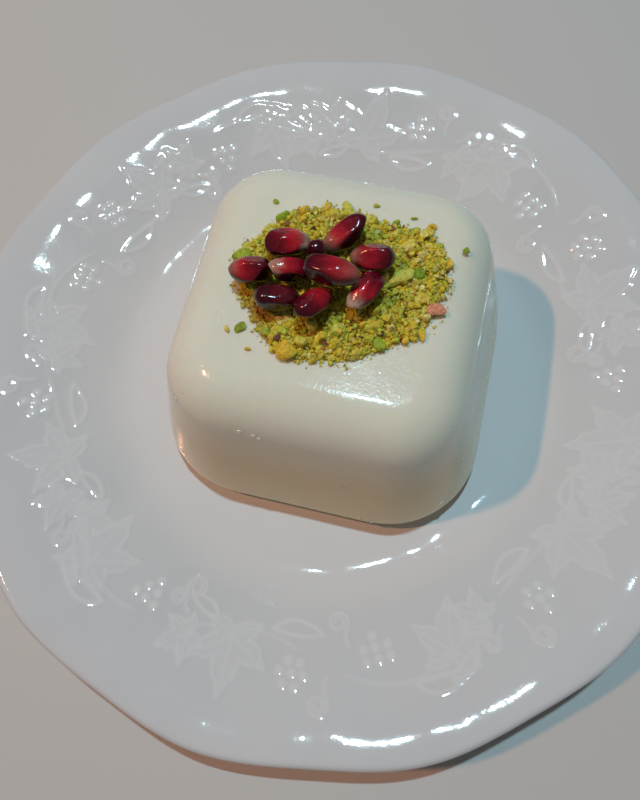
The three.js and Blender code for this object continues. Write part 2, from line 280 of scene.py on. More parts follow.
def bead(u, v, path, thick=1.0):
    """Height of a rounded bead of clay along a path of (u, v) points, which thins towards its end."""
    high = np.zeros_like(u)
    widths = bead_half * thick * np.linspace(1, bead_end, len(path))
    for (u0, v0), (u1, v1), half in zip(path, path[1:], widths):
        run_u, run_v = u1 - u0, v1 - v0
        share = np.clip(((u - u0) * run_u + (v - v0) * run_v) / (run_u**2 + run_v**2 + 1e-9), 0, 1)
        away = np.hypot(u - u0 - share * run_u, v - v0 - share * run_v) / half
        high = np.maximum(high, bead_rise * bead_top(away))
    return high


def leaf(size):
    """A vine leaf rooted at the origin: a beaded outline with five pointed lobes, and a vein to each."""
    outline_points = []
    for middle, length, half_width in sorted(leaf_lobes):
        for aside in np.linspace(-1, 1, 9):
            radius = size * length * (0.5 + 0.5 * (1 - abs(aside)) ** 1.2) * (1 + 0.06 * math.cos(aside * 14))
            outline_points.append((radius * math.sin(middle + aside * half_width),
                                   radius * math.cos(middle + aside * half_width)))
    outline_points = [(0, -0.06 * size)] + outline_points + [(0, -0.06 * size)]

    def shape(u, v):
        angle, out = np.arctan2(u, v), np.hypot(u, v)
        edge = np.interp(angle, [math.atan2(*point) for point in outline_points[1:-1]],
                         [math.hypot(*point) for point in outline_points[1:-1]])
        high = blade_rise * soft_step((edge - out) / 1.2)
        high = np.maximum(high, 0.9 * bead(u, v, outline_points, 0.8))
        for middle, length, _ in leaf_lobes:
            vein = vein_share * size * length
            tip = (vein * math.sin(middle), vein * math.cos(middle))
            high = np.maximum(high, 0.85 * bead(u, v, [(0, 0), (tip[0] / 2, tip[1] / 2), tip], 0.75))
        return high
    return shape


def bunch(rows):
    """A loose bunch of round berries, its first row at the stalk."""
    middles = [
        ((k - (count - 1) / 2) * berry_step, (row + 0.6) * row_step)
        for row, count in enumerate(rows) for k in range(count)
    ]

    def shape(u, v):
        high = np.zeros_like(u)
        for berry_u, berry_v in middles:
            away = np.hypot(u - berry_u, v - berry_v) / berry_radius
            high = np.maximum(high, berry_rise * np.exp(-1.5 * away**3))
        return high
    return shape


def tendril(length, coil, side):
    """A thin strand that runs out and curls up into a coil, to the right or, with side -1, to the left."""
    path = [(side * 1.4 * math.sin(t * 2.2), length * t) for t in np.linspace(0, 1, 7)]
    middle = (path[-1][0] + side * coil, path[-1][1])
    for t in np.linspace(0, 1, 24)[1:]:
        radius = coil * (1 - 0.7 * t)
        swing = math.pi - t * 3.2 * math.pi
        path.append((middle[0] + side * radius * math.cos(swing), middle[1] + radius * math.sin(swing)))
    return lambda u, v: 0.85 * bead(u, v, path, 0.75)


def leaflet(length, width, curl):
    """A long leaflet drawn by its two edges, which part and meet again while it curls to one side."""
    shares = np.linspace(0, 1, 12)
    edges = [
        [(curl * t * t + side * width * math.sin(math.pi * t) ** 0.8, length * t) for t in shares]
        for side in (-1, 1)
    ]
    return lambda u, v: np.maximum(bead(u, v, edges[0], 0.9), bead(u, v, edges[1], 0.8))


stem_wave = bays / 2 * plan_angle
stem_drift = 1.5 * np.cos(5 * plan_angle + 1) + np.sin(9 * plan_angle)  # so that no two bays are alike
stem_radius = vine_radius + vine_swing * np.cos(stem_wave) + stem_drift
stem_slope = -vine_swing * bays / 2 * np.sin(stem_wave) / vine_radius
from_stem = np.abs(plan_radius - stem_radius) / np.hypot(1, stem_slope) / stem_half
stem_shown = soft_step(1.2 + 1.1 * np.cos(bays * plan_angle + 0.6))  # it fades out between the leaves
relief = np.where(carries, stem_rise * stem_shown * bead_top(from_stem), 0)

# Each stamp says where a motif is rooted, along the rim and across it, how it turns and how far it reaches.
degree = math.radians(1)
for bay in range(bays):
    middle = 2 * math.pi * bay / bays
    inwards = bay % 2 == 0  # the stem swings out here, so the bay opens towards the well
    side = 1 if bay % 4 < 2 else -1
    facing = math.pi if inwards else 0
    sign = -1 if inwards else 1
    size = leaf_size * layout.uniform(0.92, 1.1)
    lean = layout.uniform(-0.2, 0.2)
    stem_here = vine_radius - sign * vine_swing
    stamp(middle - side * 4.5 * degree, stem_here + sign * 3.0, facing + lean + side * 0.25, 17,
          leaf(size))
    stamp(middle - side * 12.0 * degree, vine_radius + sign * 1.0, facing - side * 0.8, 14,
          leaf(size * layout.uniform(0.55, 0.68)))
    stamp(middle + side * 7.6 * degree, stem_here + sign * 4.2, facing + layout.uniform(-0.3, 0.3), 14,
          bunch(bunch_rows[bay % len(bunch_rows)]))
    stamp(middle + side * 13.0 * degree, vine_radius + sign * 3.5, facing + side * 0.3, 14,
          tendril(5.0, 2.7, side))
    stamp(middle + side * 2.6 * degree, stem_here - sign * 1.0, facing + math.pi - side * 1.2, 17,
          leaflet(12.0, 1.9, side * 4.0))
    stamp(middle - side * 8.5 * degree, stem_here + sign * 1.0, facing + math.pi + side * 0.9, 16,
          leaflet(9.0, 1.5, -side * 3.0))
    stamp(middle - side * 14.0 * degree, vine_radius - sign * 3.0, facing + math.pi + side * 0.4, 14,
          tendril(3.6, 2.2, -side))
relief *= soft_step((plan_radius - band_inside) / 2) * soft_step((band_outside - plan_radius) / 2)

# Firing leaves the body a little out of true, which breaks long highlights into short ones.
warp_waves, warp_lengths = 14, (11, 34)
warp_rise = 0.0013  # height of a wave, as a share of its length
true_radius, true_height = 30, 1.5  # the middle of the well and the foot stay true
warp = np.zeros(len(plate_points))
for _ in range(warp_waves):
    run = layout.uniform(0, 2 * math.pi)
    wave = layout.uniform(*warp_lengths)
    phase = layout.uniform(0, 6)
    across = plan_x * math.cos(run) + plan_y * math.sin(run)
    warp += warp_rise * wave * np.sin(2 * math.pi * across / wave + phase)
warp *= soft_step(plan_radius / true_radius - 1) * (plate_points[:, 2] > true_height)

swing = edge_swing * soft_step((plan_radius - rim_start) / (plate_radius - rim_start))
stretch = 1 + swing * np.cos(edge_lobes * (plan_angle - edge_lobe_turn)) / np.maximum(plan_radius, 1)
lean_in = relief * math.sin(rim_angle) / np.maximum(plan_radius, 1)
plate_points[:, 0] *= stretch - lean_in
plate_points[:, 1] *= stretch - lean_in
plate_points[:, 2] += relief * math.cos(rim_angle) + warp
move_points(plate, plate_points * mm)
store(plate, "raised", relief / bead_rise)
bpy.ops.object.shade_smooth()

# Its clear glaze lies over white porcelain, and is wiped off the foot ring, which is matt. Painted light and
# shade are in its colour: it is painted whitest on the raised work, whiter in the well, and greyer on the rim
# between.

# painted shade: the greyer rim, in two mottled tones
rim_shade, rim_light = (0.70, 0.715, 0.725, 1), (0.735, 0.745, 0.75, 1)
# painted light: the whiter well and the whiter raised work
well_painted_light, raised_painted_light = (0.785, 0.79, 0.79, 1), (0.80, 0.81, 0.815, 1)
glazed_roughness, bare_roughness = 0.05, 0.75


def set_sockets(node, sockets):
    """Sets a node's sockets, by name or number, to values, or links them to other sockets."""
    for name, value in sockets.items():
        if isinstance(value, bpy.types.NodeSocket):
            node.id_data.links.new(value, node.inputs[name])
        else:
            node.inputs[name].default_value = value


def new_material(name):
    """A material, its shader, and a function that adds a node with given socket values and settings."""
    material = bpy.data.materials.new(name)
    material.use_nodes = True
    tree = material.node_tree
    return material, tree.nodes["Principled BSDF"], node_maker(tree)


def node_maker(tree):
    """A function that adds a node to this tree, with its sockets in a dict and its settings by name."""
    def add(kind, sockets=(), **settings):
        node = tree.nodes.new("ShaderNode" + kind)
        for name, value in settings.items():
            setattr(node, name, value)
        set_sockets(node, dict(sockets))
        return node
    return add


def feed(node, **sockets):
    """Sets or links the sockets of a shader or a group, named with _ for a space."""
    set_sockets(node, {name.replace("_", " "): value for name, value in sockets.items()})


def new_group(name, inputs, outputs):
    """A shader node group with named inputs (name, kind, value) and outputs (name, kind)."""
    tree = bpy.data.node_groups.new(name, "ShaderNodeTree")
    for label, kind, value in inputs:
        socket = tree.interface.new_socket(label, in_out="INPUT", socket_type="NodeSocket" + kind)
        if value is not None:
            socket.default_value = value
    for label, kind in outputs:
        tree.interface.new_socket(label, in_out="OUTPUT", socket_type="NodeSocket" + kind)
    return tree, tree.nodes.new("NodeGroupInput").outputs, tree.nodes.new("NodeGroupOutput").inputs


def place_group(add, tree, **sockets):
    """Puts a node group in a material with its own values."""
    node = add("Group", node_tree=tree)
    feed(node, **sockets)
    return node


def noise(add, where, scale, detail):
    """Soft random clouds of numbers round a half."""
    return add("TexNoise", {"Vector": where, "Scale": scale, "Detail": detail}).outputs[0]


def times(add, first, second, **settings):
    """The product of two numbers."""
    return add("Math", {0: first, 1: second}, operation="MULTIPLY", **settings).outputs[0]


def stretched(add, value, low, high, to=(0, 1), **settings):
    """A number that goes through the range to while the value goes from low to high."""
    sockets = {"Value": value, "From Min": low, "From Max": high, "To Min": to[0], "To Max": to[1]}
    return add("MapRange", sockets, **settings).outputs[0]


def mixed(add, share, first, second, **settings):
    """The first colour with a share of the second mixed in."""
    sockets = {"Factor": share, "A": first, "B": second}
    return add("Mix", sockets, data_type="RGBA", **settings).outputs["Result"]


# Two shades of one colour in soft patches, with finer flecks in them: glaze, milk and nut vary like this.
mottle, patch_in, patch_out = new_group(
    "mottle",
    [("Vector", "Vector", None), ("Size", "Float", 0.01), ("Shade", "Color", (0, 0, 0, 1)),
     ("Light", "Color", (1, 1, 1, 1)), ("Fleck", "Float", 0.2)],
    [("Color", "Color"), ("Mask", "Float")],
)
add = node_maker(mottle)
patch_scale = add("Math", {0: 1.0, 1: patch_in["Size"]}, operation="DIVIDE").outputs[0]
patches = noise(add, patch_in["Vector"], patch_scale, 2.0)
flecks = noise(add, patch_in["Vector"], times(add, patch_scale, 9.0), 3.0)
blend = add("Mix", {"Factor": patch_in["Fleck"], 2: patches, 3: flecks}).outputs[0]
spread = stretched(add, blend, 0.35, 0.65)
mottle.links.new(mixed(add, spread, patch_in["Shade"], patch_in["Light"]), patch_out["Color"])
mottle.links.new(spread, patch_out["Mask"])

# A surface that is uneven at two scales: wide soft waves and a fine grain.
uneven, grain_in, grain_out = new_group(
    "uneven surface",
    [("Vector", "Vector", None), ("Wave Size", "Float", 0.01), ("Wave Height", "Float", 0.0001),
     ("Grain Size", "Float", 0.001), ("Grain Height", "Float", 0.00001)],
    [("Normal", "Vector")],
)
add = node_maker(uneven)
wave_scale = add("Math", {0: 1.0, 1: grain_in["Wave Size"]}, operation="DIVIDE").outputs[0]
waves = noise(add, grain_in["Vector"], wave_scale, 1.0)
grain_scale = add("Math", {0: 1.0, 1: grain_in["Grain Size"]}, operation="DIVIDE").outputs[0]
grains = noise(add, grain_in["Vector"], grain_scale, 2.0)
wave_bump = add("Bump", {"Height": waves, "Distance": grain_in["Wave Height"]}).outputs[0]
grain_bump = add("Bump", {"Height": grains, "Distance": grain_in["Grain Height"], "Normal": wave_bump})
uneven.links.new(grain_bump.outputs[0], grain_out["Normal"])

porcelain, glaze, add = new_material("glazed porcelain")
where = add("TexCoord").outputs["Object"]
raised = add("Attribute", attribute_name="raised").outputs["Fac"]
body = place_group(add, mottle, Vector=where, Size=0.03, Shade=rim_shade, Light=rim_light, Fleck=0.1)
height = add("SeparateXYZ", {"Vector": where}).outputs["Z"]
# painted light and shade: the well is painted whiter than the rim, and the raised work whiter still
well_painted_light_share = stretched(add, height, (well_height + 3.5) * mm, well_height * mm)
white = mixed(add, well_painted_light_share, body.outputs["Color"], well_painted_light)
white = mixed(add, stretched(add, raised, 0.1, 1.0), white, raised_painted_light)
bare = add("Math", {0: height, 1: 0.4 * mm}, operation="LESS_THAN").outputs[0]
rough = stretched(add, bare, 0, 1, (glazed_roughness, bare_roughness))
surface = place_group(add, uneven, Vector=where, Wave_Size=0.009, Wave_Height=0.00012,
                      Grain_Size=0.0011, Grain_Height=0.000012)
feed(glaze, Base_Color=white, Roughness=rough, Normal=surface.outputs["Normal"], IOR=1.5)
plate.data.materials.append(porcelain)
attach(plate, "root")
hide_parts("plate")

# ---- Milk pudding --------------------------------------------------------------------------------
# Milk set with starch in a square mould with rounded corners, and turned out upside down. Its walls lean in
# towards the top by the mould's draft. The mesh grows by insets, up and then down from its widest line.

pudding_middle = (2, 1.4)
pudding_half, pudding_corner, pudding_height = 43.4, 24.7, 46.28
pudding_draft = math.radians(13.8)
top_round, foot_round = 12, 5
solid_gap = 0.28  # the solid keeps this from the plate, and the pudding itself stands on it
pudding_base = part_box("pudding")[0][2] / mm - solid_gap
pudding_top = pudding_base + pudding_height
corner_steps, side_steps = 20, 18
first_rise = 0.1  # the insets start from a thin slab


def grow(levels):
    """Insets the selected face through levels of (inset, height), counted from where it is now."""
    for (inset0, z0), (inset1, z1) in zip(levels, levels[1:]):
        bpy.ops.mesh.inset(thickness=(inset1 - inset0) * mm, depth=(z1 - z0) * mm, use_even_offset=True)


def round_over(radius, start, stop, steps):
    """Points of a rounded edge as (inset, height) from the middle of its arc's level line."""
    return [(radius * (1 - math.cos(a)), radius * math.sin(a)) for a in np.linspace(start, stop, steps)]


wall_inset = foot_round * (1 - math.cos(pudding_draft))
wall_height = foot_round * math.sin(pudding_draft)
shoulder_height = pudding_height - foot_round - top_round * (1 - math.sin(pudding_draft))
shoulder_inset = wall_inset + (shoulder_height - wall_height) * math.tan(pudding_draft)
arc_inset = shoulder_inset - top_round * (1 - math.cos(pudding_draft))
arc_height = shoulder_height - top_round * math.sin(pudding_draft)
up_levels = round_over(foot_round, 0, pudding_draft, 3)
up_levels += [
    (wall_inset + t * (shoulder_inset - wall_inset), wall_height + t * (shoulder_height - wall_height))
    for t in np.linspace(0, 1, 14)[1:]
]
top_levels = round_over(top_round, pudding_draft, math.pi / 2, 14)[1:]
up_levels += [(arc_inset + inset, arc_height + rise) for inset, rise in top_levels]
down_levels = round_over(foot_round, 0, math.radians(84), 9)

bpy.ops.object.select_all(action="DESELECT")
bpy.ops.mesh.primitive_plane_add(
    size=2 * pudding_half * mm,
    location=(pudding_middle[0] * mm, pudding_middle[1] * mm, (pudding_base + foot_round) * mm),
)
pudding = bpy.context.object
pudding.name = "milk_pudding"
bpy.ops.object.mode_set(mode="EDIT")
bpy.ops.mesh.select_all(action="SELECT")
bpy.ops.mesh.bevel(offset=pudding_corner * mm, affect="VERTICES", segments=corner_steps, profile=0.5)
bpy.ops.mesh.select_mode(type="EDGE")
bpy.ops.mesh.select_all(action="DESELECT")
bpy.ops.object.mode_set(mode="OBJECT")
for edge in pudding.data.edges:  # the four straight sides are the only long ones
    ends = [pudding.data.vertices[k].co for k in edge.vertices]
    edge.select = (ends[0] - ends[1]).length > 20 * mm
bpy.ops.object.mode_set(mode="EDIT")
bpy.ops.mesh.subdivide(number_cuts=side_steps - 1)
bpy.ops.mesh.select_mode(type="FACE")
bpy.ops.mesh.select_all(action="SELECT")
bpy.ops.mesh.extrude_region_move(TRANSFORM_OT_translate={"value": (0, 0, first_rise * mm)})
grow([(0, first_rise)] + [level for level in up_levels if level[1] > first_rise])


def close_with_grid(height):
    """Swaps the many-sided face at this height, in mm, for a grid of even faces, which smooth well."""
    bpy.ops.mesh.select_mode(type="FACE")
    bpy.ops.mesh.select_all(action="DESELECT")
    bpy.ops.object.mode_set(mode="OBJECT")
    for face in pudding.data.polygons:
        away = abs(pudding.location.z + face.center.z - height * mm)
        face.select = len(face.vertices) > 4 and away < 0.05 * mm
    bpy.ops.object.mode_set(mode="EDIT")
    bpy.ops.mesh.delete(type="ONLY_FACE")
    bpy.ops.mesh.select_mode(type="EDGE")
    bpy.ops.mesh.select_non_manifold()
    bpy.ops.mesh.fill_grid(span=corner_steps + side_steps)


def smooth_out(piece, levels):
    """Finishes the active piece with a subdivision surface."""
    bpy.ops.object.modifier_add(type="SUBSURF")
    smoother = piece.modifiers[0]
    smoother.levels = smoother.render_levels = levels
    bpy.ops.object.modifier_apply(modifier=smoother.name)


close_with_grid(pudding_top)
bpy.ops.mesh.select_mode(type="FACE")
bpy.ops.mesh.select_all(action="DESELECT")
bpy.ops.object.mode_set(mode="OBJECT")
for face in pudding.data.polygons:
    face.select = len(face.vertices) > 4
bpy.ops.object.mode_set(mode="EDIT")
grow(down_levels)
close_with_grid(pudding_base + foot_round - down_levels[-1][1])
bpy.ops.mesh.select_all(action="SELECT")
bpy.ops.mesh.normals_make_consistent(inside=False)
bpy.ops.mesh.vertices_smooth(factor=0.5, repeat=6)
bpy.ops.object.mode_set(mode="OBJECT")
bpy.ops.object.transform_apply(location=True)
smooth_out(pudding, 1)
bpy.ops.object.shade_smooth()

# The set milk is dense and cream-white. Low down its colour is painted darker and yellower, as painted warm
# shade. Its moist skin has the mould's grain and a few small pores.
cream_shade, cream_light = (0.86, 0.85, 0.705, 1), (0.885, 0.88, 0.745, 1)
# painted warm shade: the darker, yellower colour the walls take on towards the foot
painted_warm_shade = (0.81, 0.66, 0.385, 1)
painted_warm_shade_from, painted_warm_shade_full = 46 * mm, 26 * mm

curd, milk, add = new_material("milk pudding")
where = add("TexCoord").outputs["Object"]
cream = place_group(add, mottle, Vector=where, Size=0.02, Shade=cream_shade, Light=cream_light, Fleck=0.35)
surface = place_group(add, uneven, Vector=where, Wave_Size=0.006, Wave_Height=0.00008,
                      Grain_Size=0.0007, Grain_Height=0.00003)
pits = add("TexVoronoi", {"Vector": where, "Scale": 420.0}).outputs["Distance"]
pitted = stretched(add, noise(add, where, 70.0, 1.0), 0.55, 0.68)
skin_normal = add("Bump", {
    "Height": stretched(add, pits, 0.05, 0.22), "Distance": times(add, pitted, 0.00009),
    "Normal": surface.outputs["Normal"]})
moist = stretched(add, cream.outputs["Mask"], 0, 1, (0.12, 0.2))
height = add("SeparateXYZ", {"Vector": where}).outputs["Z"]
# how much painted warm shade each height gets: none near the top, all of it low down
low = stretched(add, height, painted_warm_shade_from, painted_warm_shade_full, interpolation_type="SMOOTHSTEP")
wall_with_painted_shade = mixed(add, low, cream.outputs["Color"], painted_warm_shade)
feed(milk, Base_Color=wall_with_painted_shade, Roughness=moist, Normal=skin_normal.outputs[0],
     Subsurface_Weight=0.6, Subsurface_Radius=(1.0, 0.75, 0.45), Subsurface_Scale=0.0025, IOR=1.36,
     Specular_IOR_Level=0.2, Coat_Weight=0.45, Coat_Roughness=0.05)
pudding.data.materials.append(curd)
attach(pudding, "root")
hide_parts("pudding")

# ---- Ground pistachio ----------------------------------------------------------------------------
# Pistachio kernels, ground unevenly and heaped by hand: a low mound of fine meal with grains, broken nibs and
# bits of brown skin on it. The meal thins out to single crumbs round the edge.

mound_middle = (pudding_middle[0] + 1.3, pudding_middle[1] + 2.4)
mound_half = (24, 19.4)
mound_turn = math.radians(9.5)
mound_height, mound_edge_height = 2.5, 0.5
meal_rings, meal_ring_width = 22, 0.044  # of a mound with a radius of 1
meal_reach, meal_sunk = 0.985, 0.35  # so that the bits stand out of the meal
strewn_x, strewn_y = (-31, 34), (-25, 30)
sparse_from, sparse_fade = 0.97, 0.035  # shares of the way to the mound's edge
knob_rise, cut_depths = 0.06, (0.45, 0.8)  # on a bit with a radius of 1
wet_place, wet_reach = (-12.6, -7.2), 3.6  # juice has run into the nuts here
broken_edge = math.radians(24)  # sharper edges of the broken bits than this stay sharp
scatter = np.random.default_rng(5)


def mound_share(x, y):
    """Distance of a place from the mound's middle, as a share of the way to its uneven edge."""
    dx, dy = x - mound_middle[0], y - mound_middle[1]
    u = (dx * math.cos(mound_turn) + dy * math.sin(mound_turn)) / mound_half[0]
    v = (-dx * math.sin(mound_turn) + dy * math.cos(mound_turn)) / mound_half[1]
    angle = np.arctan2(v, u)
    edge = 1 + 0.045 * np.cos(3 * angle - 0.65) + 0.035 * np.cos(5 * angle - 2.7) + 0.015 * np.cos(9 * angle)
    return np.hypot(u, v) / edge


def lumps(x, y):
    """The small humps and hollows of a heap, from -1 to 1."""
    return (np.sin(x * 1.31 + 0.7 * np.sin(y * 0.83)) * np.sin(y * 1.17 + 0.9 * np.sin(x * 0.71 + 1))
            + 0.6 * np.sin(x * 2.3 + y * 1.9 + 2) * np.sin(y * 2.6 - x * 1.4)) / 1.6


def mound_surface(x, y):
    """Height of the mound's meal in mm, from the plate's foot."""
    share = mound_share(x, y)
    dome = mound_edge_height + (mound_height - mound_edge_height) * (1 - np.clip(share, 0, 1) ** 2)
    return pudding_top + np.where(share < 1, dome + 0.35 * lumps(x, y) * soft_step((1 - share) * 5), 0)


bpy.ops.object.select_all(action="DESELECT")
bpy.ops.mesh.primitive_circle_add(vertices=128, radius=1, fill_type="NGON")
mound = bpy.context.object
mound.name = "pistachio_meal"
bpy.ops.object.mode_set(mode="EDIT")
bpy.ops.mesh.select_mode(type="FACE")
bpy.ops.mesh.select_all(action="SELECT")
bpy.ops.mesh.extrude_region_move(TRANSFORM_OT_translate={"value": (0, 0, 0.001)})
for _ in range(meal_rings):
    bpy.ops.mesh.inset(thickness=meal_ring_width, use_even_offset=True)
bpy.ops.mesh.poke()
bpy.ops.object.mode_set(mode="OBJECT")
disc = points_of(mound)
reach = np.hypot(disc[:, 0], disc[:, 1])
angle = np.arctan2(disc[:, 1], disc[:, 0])
reach *= meal_reach / mound_share(mound_middle[0] + np.cos(angle), mound_middle[1] + np.sin(angle))
meal_x = mound_middle[0] + reach * np.cos(angle)
meal_y = mound_middle[1] + reach * np.sin(angle)
meal_z = np.where(disc[:, 2] > 0, mound_surface(meal_x, meal_y) - meal_sunk, pudding_top - 0.1)
move_points(mound, np.column_stack([meal_x, meal_y, meal_z]) * mm)
bpy.ops.object.shade_smooth()


def aril_axes(node):
    """Middle, long axis towards the fat end, two cross axes and three half-lengths of an aril, in mm."""
    points = points_of(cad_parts[node]) / mm
    middle = (points.max(axis=0) + points.min(axis=0)) / 2
    _, _, axes = np.linalg.svd(np.unique(points.round(4), axis=0) - middle, full_matrices=False)
    axes = axes * np.sign(np.linalg.det(axes))
    spans = (points - middle) @ axes.T
    middle = middle + axes.T @ ((spans.max(axis=0) + spans.min(axis=0)) / 2)
    spans = (points - middle) @ axes.T
    wide = np.hypot(spans[:, 1], spans[:, 2])
    if spans[wide > 0.85 * wide.max(), 0].mean() < 0:
        axes = axes * np.array([[-1], [-1], [1]])
    return middle, axes, np.abs(spans).max(axis=0)


arils = {name: aril_axes(name) for name in sorted(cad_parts) if name.startswith("aril_")}


def clear_of_arils(places, margin):
    """Which places, as rows of x, y, z in mm, lie outside every aril."""
    clear = np.ones(len(places), bool)
    for middle, axes, halves in arils.values():
        inside = ((places - middle) @ axes.T) / (halves + margin)
        clear &= (inside**2).sum(axis=1) > 1
    return clear


def ball_shape(subdivisions):
    """Corners and faces of a small ball, before it is pushed out of shape."""
    bpy.ops.object.select_all(action="DESELECT")
    bpy.ops.mesh.primitive_ico_sphere_add(subdivisions=subdivisions, radius=1)
    ball = bpy.context.object
    corners = points_of(ball)
    faces = np.array([face.vertices[:] for face in ball.data.polygons])
    bpy.data.objects.remove(ball)
    return corners, faces


def broken_bits(corners, count, cuts):
    """Many small balls with knobs and dents, each with a few flat broken sides."""
    waves = scatter.normal(size=(count, 3, 4)) * 2.0
    starts = scatter.uniform(0, 2 * math.pi, (count, 1, 4))
    shapes = corners[None] * (1 + knob_rise * np.sin(corners @ waves + starts).sum(axis=2))[..., None]
    for _ in range(cuts):
        cut = scatter.normal(size=(count, 3))
        cut /= np.linalg.norm(cut, axis=1, keepdims=True)
        depths = scatter.uniform(*cut_depths, (count, 1))
        over = np.maximum(np.einsum("nij,nj->ni", shapes, cut) - depths, 0)
        shapes = shapes - 0.95 * over[..., None] * cut[:, None, :]
    return shapes


def any_turns(count):
    """Random rotations, as one 3 x 3 matrix each."""
    turns = scatter.normal(size=(count, 4))
    w, a, b, c = (turns / np.linalg.norm(turns, axis=1, keepdims=True)).T
    return np.array([
        [1 - 2 * (b * b + c * c), 2 * (a * b - c * w), 2 * (a * c + b * w)],
        [2 * (a * b + c * w), 1 - 2 * (a * a + c * c), 2 * (b * c - a * w)],
        [2 * (a * c - b * w), 2 * (b * c + a * w), 1 - 2 * (a * a + b * b)],
    ]).transpose(2, 0, 1)


def joined_bits(name, places, sizes, shapes, faces, turns, tones=None):
    """Many small bits as one mesh: each shape stretched to its size, turned and put in place, all in mm."""
    count, corner_count = shapes.shape[:2]
    points = np.einsum("nij,nkj->nki", turns, shapes * sizes[:, None, :] / 2) + places[:, None, :]
    corner_rows = (faces[None] + np.arange(count)[:, None, None] * corner_count).reshape(-1, 3)
    mesh = bpy.data.meshes.new(name)
    mesh.from_pydata((points.reshape(-1, 3) * mm).tolist(), [], corner_rows.tolist())
    piece = bpy.data.objects.new(name, mesh)
    bpy.context.collection.objects.link(piece)
    if tones is not None:
        store(piece, "tone", np.repeat(tones, corner_count))
        store(piece, "juice", juice_at(points[..., 0], points[..., 1]).ravel())
    if corner_count > 12:  # the smallest bits, with 12 corners, stay flat-sided
        bpy.context.view_layer.objects.active = piece
        piece.select_set(True)
        bpy.ops.object.shade_smooth_by_angle(angle=broken_edge)
        piece.select_set(False)
    return piece


def juice_at(x, y):
    """How much juice has run in at a place, from 0 to 1."""
    return np.exp(-((x - wet_place[0]) ** 2 + (y - wet_place[1]) ** 2) / wet_reach**2)


def on_mound(count, furthest, lift):
    """Random places over the mound and out to furthest of its edge, thinning out beyond it."""
    x = scatter.uniform(*strewn_x, count * 3)
    y = scatter.uniform(*strewn_y, count * 3)
    share = mound_share(x, y)
    sparse = 0.9 * np.exp(-(share - sparse_from) / sparse_fade)
    kept = scatter.uniform(size=len(x)) < np.where(share < sparse_from, 1, sparse)
    kept &= share < furthest
    x, y = x[kept][:count], y[kept][:count]
    return x, y, mound_surface(x, y) + scatter.uniform(*lift, len(x))


def pistachio_bits(name, count, small, large, thin, furthest, lift, subdivisions, tones):
    """One kind of pistachio bit, strewn over the mound."""
    x, y, z = on_mound(count, furthest, lift)
    width = small + (large - small) * scatter.uniform(size=len(x)) ** 2
    sizes = np.column_stack([width, width * scatter.uniform(0.6, 0.95, len(x)), width * thin])
    beyond = mound_share(x, y) > 1
    z = np.where(beyond, pudding_top + width * thin * 0.4, z)
    places = np.column_stack([x, y, z])
    clear = clear_of_arils(places, width[:, None] * 0.3)
    places, sizes = places[clear], sizes[clear]
    corners, faces = ball_shape(subdivisions)
    shapes = broken_bits(corners, len(places), 5)
    turns = any_turns(len(places))
    return joined_bits(name, places, sizes, shapes, faces, turns, scatter.uniform(*tones, len(places)))


# how many, smallest and largest width, thickness as a share of that, furthest place as a share of the way to
# the mound's edge, lowest and highest place in the meal, subdivisions of the ball, and tones
fine = pistachio_bits("pistachio_fine", 9400, 0.35, 0.95, 0.85, 1.12, (-0.3, 0.25), 1, (0.0, 1.0))
coarse = pistachio_bits("pistachio_grains", 2100, 1.0, 2.0, 0.8, 1.03, (-0.35, 0.35), 2, (0.1, 1.0))
nibs = pistachio_bits("pistachio_nibs", 300, 1.9, 3.6, 0.7, 0.97, (-0.3, 0.4), 3, (0.2, 1.0))
skins = pistachio_bits("pistachio_skins", 260, 0.6, 1.7, 0.3, 1.0, (0.1, 0.6), 1, (0.0, 1.0))

# The largest nibs show one by one: place from the pudding's middle, length, width, turn in degrees and tone,
# from yellow at 0 to deep green at 1.
large_nibs = [
    (-22.0, 3.6, 4.8, 3.6, 20, 0.78), (-21.6, 6.4, 2.6, 1.8, 60, 0.6), (-15.5, 16.1, 3.9, 2.9, 45, 0.86),
    (-11.2, 18.4, 3.4, 3.0, 40, 0.12), (-5.6, 21.1, 2.9, 2.6, 50, 0.2), (-0.6, 21.2, 6.0, 2.2, -46, 0.6),
    (14.6, 4.4, 7.2, 3.8, 46, 0.55), (18.6, 7.0, 3.6, 2.6, 80, 0.92), (24.6, 11.6, 3.4, 2.3, 50, 0.25),
    (-6.3, -16.8, 4.8, 4.2, 45, 0.05), (11.5, 9.6, 3.2, 2.4, 10, 0.66), (3.6, -10.6, 4.6, 2.8, 40, 0.62),
    (13.6, -11.4, 3.2, 2.8, -10, 0.8), (-12.0, -13.4, 3.0, 2.2, -30, 0.7), (18.9, 19.1, 2.8, 2.4, 60, 0.22),
    (21.8, -6.6, 3.6, 1.7, 110, 0.1), (18.8, -8.9, 2.2, 1.9, 40, 0.08), (-3.4, -14.4, 3.4, 2.6, 10, 0.45),
    (8.6, -15.0, 3.2, 2.4, 70, 0.3), (20.5, 1.4, 3.0, 2.4, -20, 0.3), (14.8, 13.8, 3.6, 2.8, 20, 0.4),
    (10.7, 20.2, 1.9, 1.5, 20, 0.8), (4.6, 18.6, 3.2, 2.6, 0, 0.5), (-17.5, 12.0, 3.2, 2.6, 70, 0.5),
]
# the loose nibs that lie on the pudding beside the mound
loose_nibs = [
    (-17.8, -13.4, 2.9, 1.8, 48, 0.86), (-20.6, -14.6, 2.2, 1.0, -60, 0.3), (-14.8, -18.2, 1.5, 1.0, 15, 0.1),
    (-18.2, 20.2, 1.6, 1.2, 20, 0.8), (19.2, 20.6, 2.4, 1.9, -30, 0.2), (14.8, 22.2, 1.9, 0.9, 10, 0.9),
    (28.0, 16.0, 1.9, 1.5, 35, 0.9), (5.4, 23.8, 1.5, 1.0, 0, 0.7),
]
